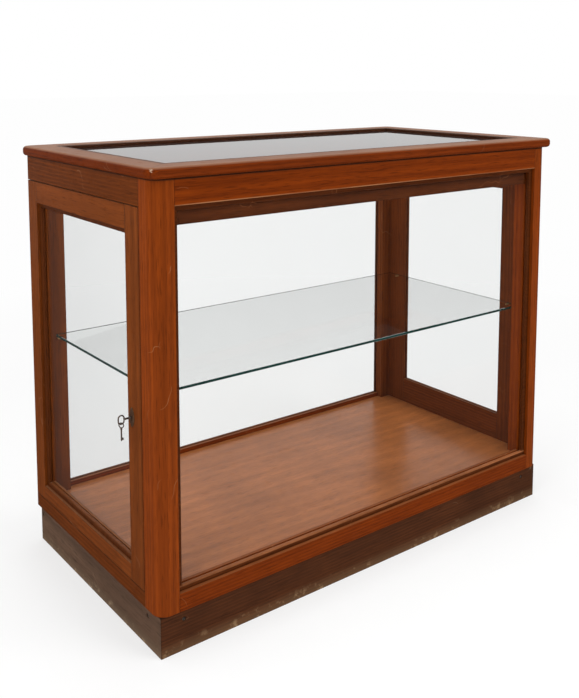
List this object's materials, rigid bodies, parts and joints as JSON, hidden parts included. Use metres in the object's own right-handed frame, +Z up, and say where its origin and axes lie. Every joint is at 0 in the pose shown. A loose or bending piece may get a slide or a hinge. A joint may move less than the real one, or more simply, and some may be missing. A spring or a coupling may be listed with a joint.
{
  "type": "glazed shop counter",
  "caption": "Free-standing shop counter with glazed wooden case, glass top, fixed glass front, back and end, inner glass shelf and a hinged glazed end door with lock and keys.",
  "frame": {"origin": "centre of the case's footprint at floor level, under the plinth", "axes": "+Z up, X along the counter's length with the hinged door at -X, the glazed front faces -Y"},
  "size_m": [1.1421, 0.594, 0.92],
  "materials": {
    "case_wood": "dark red-brown stain under old shellac, worn pale at the edges",
    "door_wood": "dark red-brown stain, a little dull",
    "bead_wood": "dark stained beading",
    "top_wood": "faded grey-brown top with worn edges",
    "plinth_wood": "near-black brown stain, scuffed at the foot",
    "floor_wood": "glossy warm brown varnish",
    "rough_wood": "unfinished softwood",
    "clear_glass": "old clear sheet glass",
    "shelf_glass": "clear glass with green edges",
    "aged_iron": "dark patinated iron",
    "key_metal": "brown-patinated steel",
    "screw_steel": "dulled steel",
    "hinge_brass": "tarnished brass"
  },
  "bodies": {
    "case": {"post_front_left": "case_wood", "post_front_right": "case_wood", "post_rear_left": "case_wood", "post_rear_right": "case_wood", "bottom_rail_front": "case_wood", "bottom_rail_left": "case_wood", "bottom_rail_rear": "case_wood", "bottom_rail_right": "case_wood", "top_rail_front": "case_wood", "top_rail_left": "case_wood", "top_rail_rear": "case_wood", "top_rail_right": "case_wood", "front_lintel": "case_wood", "door_stop_strip": "door_wood", "floor_board": "floor_wood", "floor_bearers": "rough_wood", "end_stile_front": "case_wood", "end_stile_rear": "case_wood", "end_rail_top": "case_wood", "end_rail_bottom": "case_wood", "end_glass": "clear_glass", "end_beads": "bead_wood", "front_glass": "clear_glass", "front_beads": "bead_wood", "rear_glass": "clear_glass", "rear_beads": "bead_wood", "top_frame_front": "top_wood", "top_frame_left": "top_wood", "top_frame_right": "top_wood", "top_frame_rear": "top_wood", "top_glass": "clear_glass", "top_beads": "bead_wood", "plinth_front": "plinth_wood", "plinth_left": "plinth_wood", "plinth_right": "plinth_wood", "plinth_rear": "plinth_wood", "plinth_corner_blocks": "rough_wood", "plinth_screws": "screw_steel", "shelf_studs": "hinge_brass", "strike_plate": "hinge_brass", "strike_screws": "screw_steel", "hinge_case_leaves": "hinge_brass", "hinge_case_screws": "screw_steel", "hinge_pins": "hinge_brass"},
    "door": {"door_stile_lock": "door_wood", "door_stile_hinge": "door_wood", "door_rail_top": "door_wood", "door_rail_bottom": "door_wood", "door_glass": "clear_glass", "door_beads": "bead_wood", "escutcheon": "aged_iron", "lock_case": "aged_iron", "lock_screws": "screw_steel", "hinge_door_leaves": "hinge_brass", "hinge_door_screws": "screw_steel"},
    "key": {"key": "key_metal"},
    "lock_bolt": {"lock_bolt": "hinge_brass"},
    "spare_key": {"spare_key": "key_metal"},
    "glass_shelf": {"glass_shelf": "shelf_glass"}
  },
  "joints": [
    {"name": "door_hinge", "type": "hinge", "parent": "case", "child": "door", "pos_m": [-0.5255, 0.2886, 0.4788], "axis": [0, 0, -1], "range_deg": [0, 120]},
    {"name": "key_turn", "type": "hinge", "parent": "door", "child": "key", "pos_m": [-0.5375, -0.193, 0.442], "axis": [-1, 0, 0], "range_deg": [0, 180]},
    {"name": "bolt_throw", "type": "slide", "parent": "door", "child": "lock_bolt", "axis": [0, -1, 0], "range_m": [0, 0.008]},
    {"name": "spare_key_swing", "type": "hinge", "parent": "key", "child": "spare_key", "pos_m": [-0.5729, -0.193, 0.4336], "axis": [1, 0, 0], "range_deg": [-25, 25]},
    {"name": "shelf_lift", "type": "slide", "parent": "case", "child": "glass_shelf", "axis": [0, 0, 1], "range_m": [0, 0.1]}
  ],
  "couplings": [
    {"joint": "key_turn", "follows": "bolt_throw", "rad_per_m": 392.69}
  ]
}
